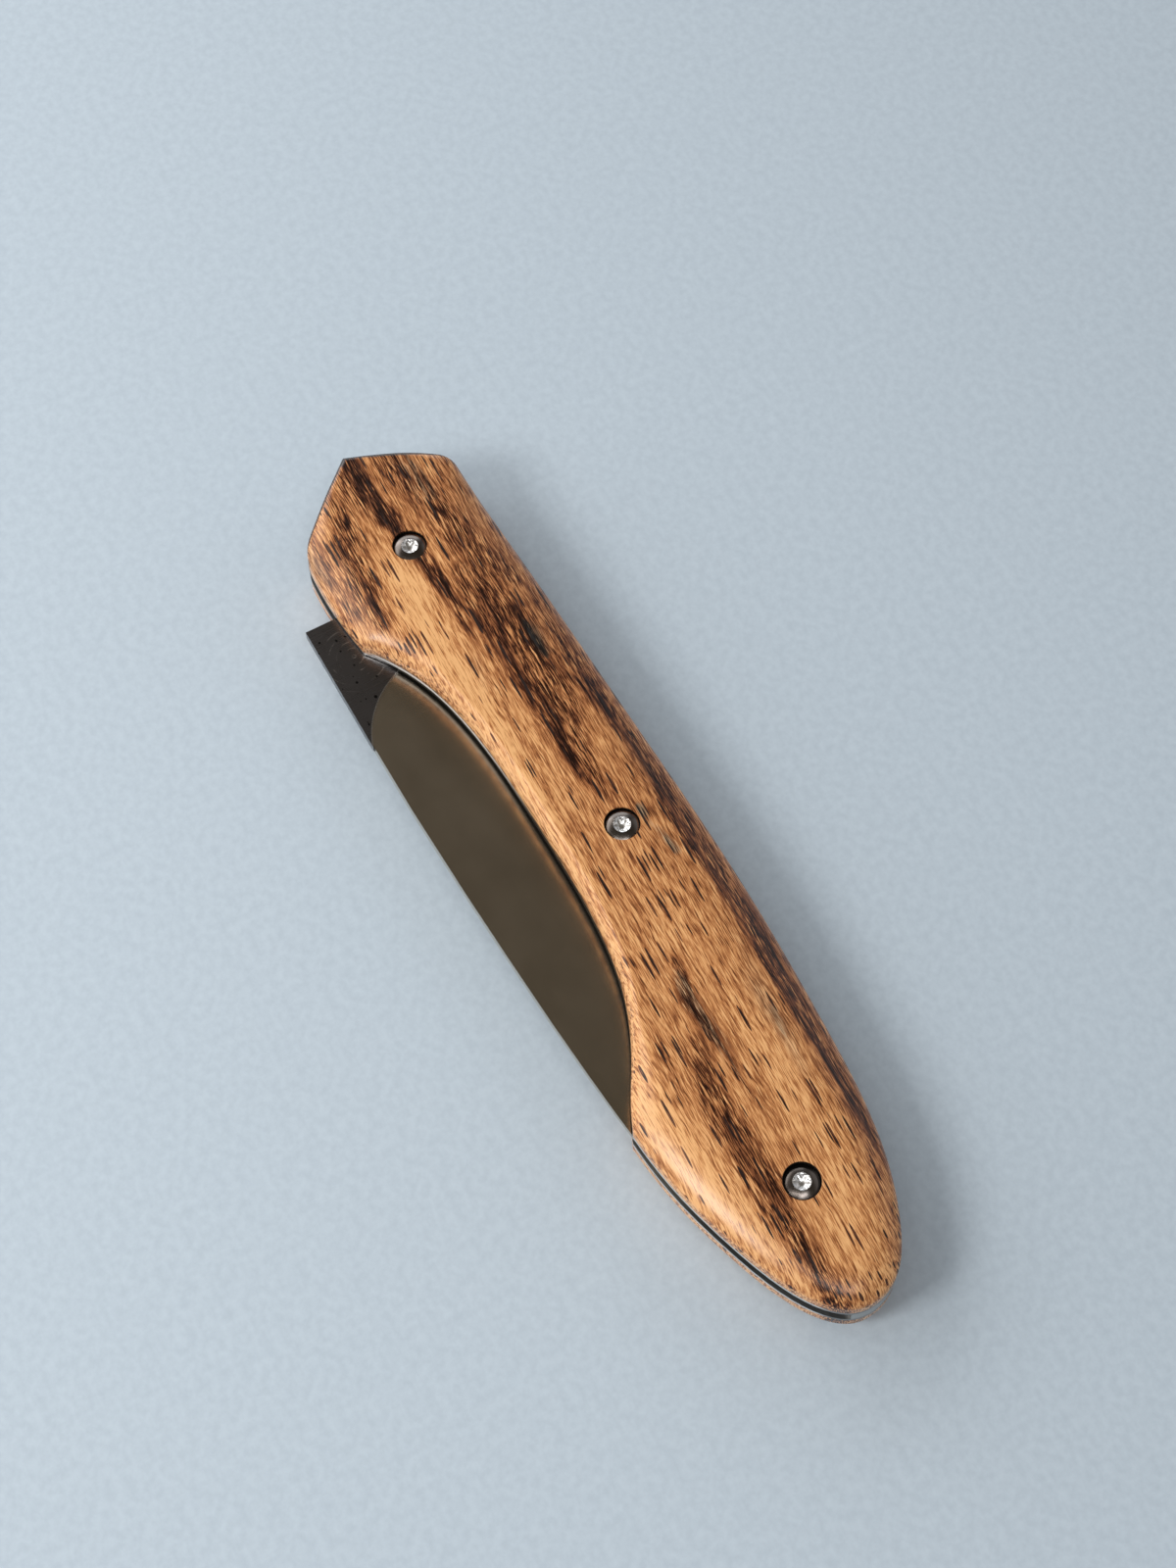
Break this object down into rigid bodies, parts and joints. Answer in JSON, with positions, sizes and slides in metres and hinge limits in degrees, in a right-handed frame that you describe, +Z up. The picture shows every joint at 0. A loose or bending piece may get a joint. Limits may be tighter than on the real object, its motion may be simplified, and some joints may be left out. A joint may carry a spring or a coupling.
{
  "type": "folding pocket knife",
  "caption": "Slip-joint folding pocket knife with crowned wooden scales, steel liners, backspring and a flat-ground steel blade.",
  "frame": {"origin": "on the resting face of the back scale, midway between the pivot screw and the rear screw", "axes": "+X from the pivot end to the butt, +Y from the blade side to the back, +Z up through the thickness"},
  "size_m": [0.1182, 0.0277, 0.0106],
  "materials": {
    "scale_wood": "oiled satin, spalted figure",
    "liner_steel": "satin",
    "blade_steel": "fine satin to polished",
    "spring_steel": "satin",
    "barrel_steel": "turned",
    "screw_steel": "plain stainless",
    "washer_bronze": "rolled sheet"
  },
  "bodies": {
    "handle": {"front_scale": "scale_wood", "back_scale": "scale_wood", "front_liner": "liner_steel", "back_liner": "liner_steel", "backspring": "spring_steel", "pivot_barrel": "barrel_steel", "mid_barrel": "barrel_steel", "rear_barrel": "barrel_steel", "pivot_front_screw": "screw_steel", "pivot_back_screw": "screw_steel", "mid_front_screw": "screw_steel", "mid_back_screw": "screw_steel", "rear_front_screw": "screw_steel", "rear_back_screw": "screw_steel", "front_washer": "washer_bronze", "back_washer": "washer_bronze"},
    "blade": {"blade": "blade_steel"}
  },
  "joints": [
    {"name": "blade_pivot", "type": "hinge", "parent": "handle", "child": "blade", "pos_m": [-0.0445, 0, 0.00532], "axis": [0, 0, -1], "range_deg": [0, 180], "deforming": ["backspring"]}
  ]
}
